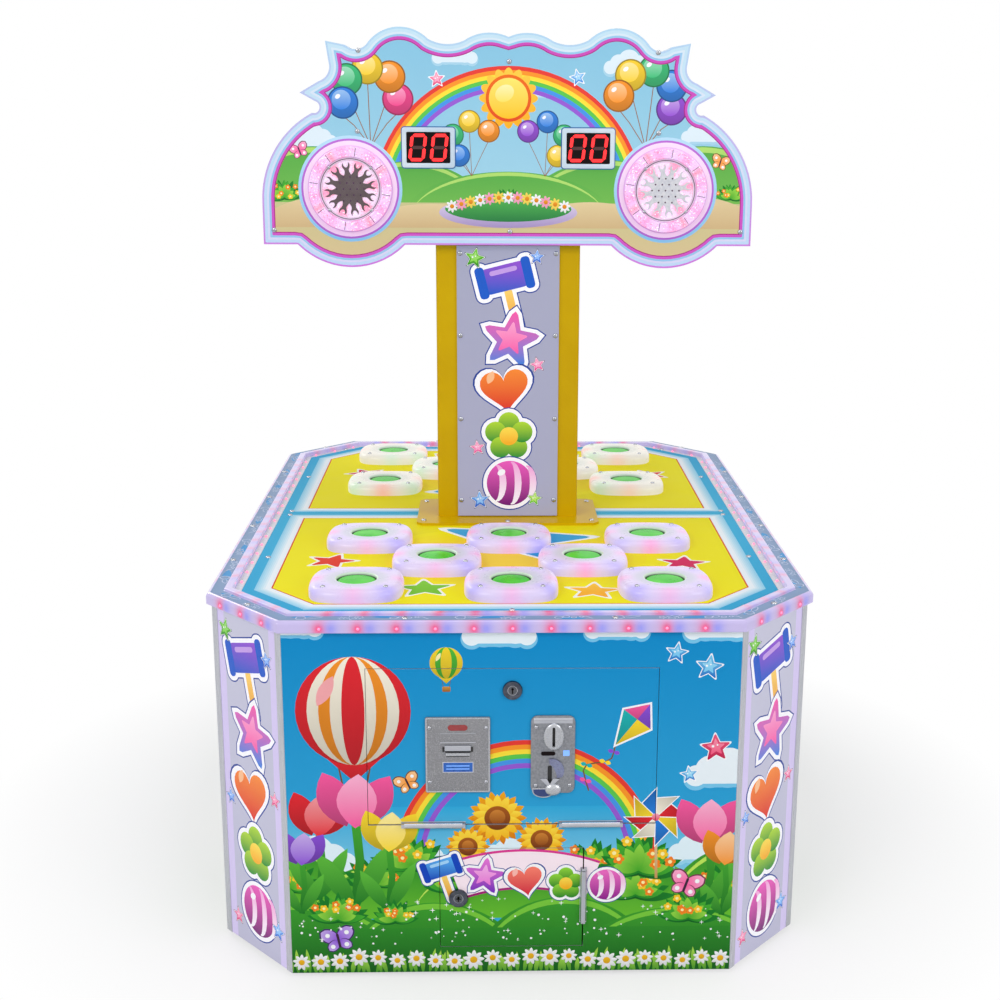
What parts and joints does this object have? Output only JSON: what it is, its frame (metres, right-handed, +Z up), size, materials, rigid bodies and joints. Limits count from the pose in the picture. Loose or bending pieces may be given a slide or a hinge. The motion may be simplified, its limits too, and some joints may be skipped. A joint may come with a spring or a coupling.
{
  "type": "mole pounding arcade machine",
  "caption": "Free-standing mole pounding arcade machine: long cabinet with cut corners, lit holes with rising moles at both ends, a column between the players and a lit marquee.",
  "frame": {"origin": "on the floor, under the middle of the machine", "axes": "+Z up, -Y towards the front player's side with the coin door, +X to that player's right"},
  "size_m": [0.923, 1.307, 1.4129],
  "materials": {
    "wood_board": "bare plywood",
    "printed_board": "plywood under a glossy printed film",
    "corner_board": "white painted board",
    "light_cover": "printed milky acrylic, lit from behind",
    "trim": "satin",
    "deck_board": "board under a glossy printed sheet",
    "rim": "moulded clear plastic over a printed band",
    "light_board": "white circuit board",
    "hole_ring": "milky moulded plastic, lit from below",
    "mole": "glossy green moulded head",
    "plain_steel": "zinc plated sheet",
    "yellow_steel": "glossy yellow powder coat",
    "marquee_shell": "light blue paint",
    "marquee_print": "printed acrylic, lit from behind",
    "bright_metal": "bright plated",
    "lock_metal": "satin plated",
    "clear_ring": "clear moulded plastic",
    "black_plastic": "black",
    "bezel": "pale blue grey",
    "cast_grey": "grey satin enamel on cast metal",
    "lever_metal": "plated",
    "rubber_foot": "black rubber",
    "electronics": "green board and plated case"
  },
  "bodies": {
    "cabinet": {"base_board": "wood_board", "centre_bulkhead": "wood_board", "panel_battens": "wood_board", "front_panel": "printed_board", "rear_panel": "printed_board", "side_panels": "printed_board", "corner_panels": "corner_board", "corner_light_covers": "light_cover", "column_light_panels": "light_cover", "corner_strips": "trim", "front_play_deck": "deck_board", "rear_play_deck": "deck_board", "deck_rim": "rim", "deck_light_boards": "light_board", "light_bars": "light_board", "hole_rings": "hole_ring", "drive_trays": "plain_steel", "mole_drives": "plain_steel", "cash_box": "plain_steel", "coin_chute": "plain_steel", "column_shell": "yellow_steel", "marquee_housing": "marquee_shell", "marquee_faces": "marquee_print", "speaker_grilles": "bright_metal", "hinge_frame_leaves": "bright_metal", "speaker_light_rings": "clear_ring", "speaker_drivers": "black_plastic", "display_modules": "black_plastic", "mains_inlet": "black_plastic", "display_bezels": "bezel", "floor_pads": "rubber_foot", "power_and_control": "electronics"},
    "coin_door": {"coin_door": "printed_board", "coin_door_hardware": "bright_metal", "coin_acceptor": "cast_grey", "ticket_dispenser": "cast_grey"},
    "coin_lock": {"coin_lock_cam": "lock_metal"},
    "coin_return_lever": {"coin_return_lever": "lever_metal"},
    "cash_door": {"cash_door": "printed_board", "cash_door_hardware": "bright_metal"},
    "cash_lock": {"cash_lock_cam": "lock_metal"},
    "rear_door": {"rear_door": "printed_board", "rear_door_hardware": "bright_metal"},
    "rear_lock": {"rear_lock_cam": "lock_metal"},
    "mole_front_1": {"mole_front_1": "mole"},
    "mole_front_2": {"mole_front_2": "mole"},
    "mole_front_3": {"mole_front_3": "mole"},
    "mole_front_4": {"mole_front_4": "mole"},
    "mole_front_5": {"mole_front_5": "mole"},
    "mole_front_6": {"mole_front_6": "mole"},
    "mole_front_7": {"mole_front_7": "mole"},
    "mole_front_8": {"mole_front_8": "mole"},
    "mole_rear_1": {"mole_rear_1": "mole"},
    "mole_rear_2": {"mole_rear_2": "mole"},
    "mole_rear_3": {"mole_rear_3": "mole"},
    "mole_rear_4": {"mole_rear_4": "mole"},
    "mole_rear_5": {"mole_rear_5": "mole"},
    "mole_rear_6": {"mole_rear_6": "mole"},
    "mole_rear_7": {"mole_rear_7": "mole"},
    "mole_rear_8": {"mole_rear_8": "mole"}
  },
  "joints": [
    {"name": "mole_front_1_lift", "type": "slide", "parent": "cabinet", "child": "mole_front_1", "axis": [0, 0, 1], "range_m": [0, 0.055]},
    {"name": "mole_front_2_lift", "type": "slide", "parent": "cabinet", "child": "mole_front_2", "axis": [0, 0, 1], "range_m": [0, 0.055]},
    {"name": "mole_front_3_lift", "type": "slide", "parent": "cabinet", "child": "mole_front_3", "axis": [0, 0, 1], "range_m": [0, 0.055]},
    {"name": "mole_front_4_lift", "type": "slide", "parent": "cabinet", "child": "mole_front_4", "axis": [0, 0, 1], "range_m": [0, 0.055]},
    {"name": "mole_front_5_lift", "type": "slide", "parent": "cabinet", "child": "mole_front_5", "axis": [0, 0, 1], "range_m": [0, 0.055]},
    {"name": "mole_front_6_lift", "type": "slide", "parent": "cabinet", "child": "mole_front_6", "axis": [0, 0, 1], "range_m": [0, 0.055]},
    {"name": "mole_front_7_lift", "type": "slide", "parent": "cabinet", "child": "mole_front_7", "axis": [0, 0, 1], "range_m": [0, 0.055]},
    {"name": "mole_front_8_lift", "type": "slide", "parent": "cabinet", "child": "mole_front_8", "axis": [0, 0, 1], "range_m": [0, 0.055]},
    {"name": "mole_rear_1_lift", "type": "slide", "parent": "cabinet", "child": "mole_rear_1", "axis": [0, 0, 1], "range_m": [0, 0.055]},
    {"name": "mole_rear_2_lift", "type": "slide", "parent": "cabinet", "child": "mole_rear_2", "axis": [0, 0, 1], "range_m": [0, 0.055]},
    {"name": "mole_rear_3_lift", "type": "slide", "parent": "cabinet", "child": "mole_rear_3", "axis": [0, 0, 1], "range_m": [0, 0.055]},
    {"name": "mole_rear_4_lift", "type": "slide", "parent": "cabinet", "child": "mole_rear_4", "axis": [0, 0, 1], "range_m": [0, 0.055]},
    {"name": "mole_rear_5_lift", "type": "slide", "parent": "cabinet", "child": "mole_rear_5", "axis": [0, 0, 1], "range_m": [0, 0.055]},
    {"name": "mole_rear_6_lift", "type": "slide", "parent": "cabinet", "child": "mole_rear_6", "axis": [0, 0, 1], "range_m": [0, 0.055]},
    {"name": "mole_rear_7_lift", "type": "slide", "parent": "cabinet", "child": "mole_rear_7", "axis": [0, 0, 1], "range_m": [0, 0.055]},
    {"name": "mole_rear_8_lift", "type": "slide", "parent": "cabinet", "child": "mole_rear_8", "axis": [0, 0, 1], "range_m": [0, 0.055]},
    {"name": "coin_door_hinge", "type": "hinge", "parent": "cabinet", "child": "coin_door", "pos_m": [0, -0.648, 0.252], "axis": [1, 0, 0], "range_deg": [0, 95]},
    {"name": "coin_lock_turn", "type": "hinge", "parent": "coin_door", "child": "coin_lock", "pos_m": [0, -0.645, 0.464], "axis": [0, 1, 0], "range_deg": [0, 90]},
    {"name": "coin_return_press", "type": "hinge", "parent": "coin_door", "child": "coin_return_lever", "pos_m": [0.0595, -0.6483, 0.355], "axis": [0, -1, 0], "range_deg": [0, 22], "stiffness_Nm_per_rad": 0.02},
    {"name": "cash_door_hinge", "type": "hinge", "parent": "cabinet", "child": "cash_door", "pos_m": [0.1075, -0.648, 0.1355], "axis": [0, 0, 1], "range_deg": [0, 100]},
    {"name": "cash_lock_turn", "type": "hinge", "parent": "cash_door", "child": "cash_lock", "pos_m": [-0.0805, -0.645, 0.13175], "axis": [0, 1, 0], "range_deg": [0, 90]},
    {"name": "rear_door_hinge", "type": "hinge", "parent": "cabinet", "child": "rear_door", "pos_m": [0.201, 0.648, 0.295], "axis": [0, 0, -1], "range_deg": [0, 100]},
    {"name": "rear_lock_turn", "type": "hinge", "parent": "rear_door", "child": "rear_lock", "pos_m": [-0.172, 0.645, 0.295], "axis": [0, 1, 0], "range_deg": [0, 90]}
  ]
}
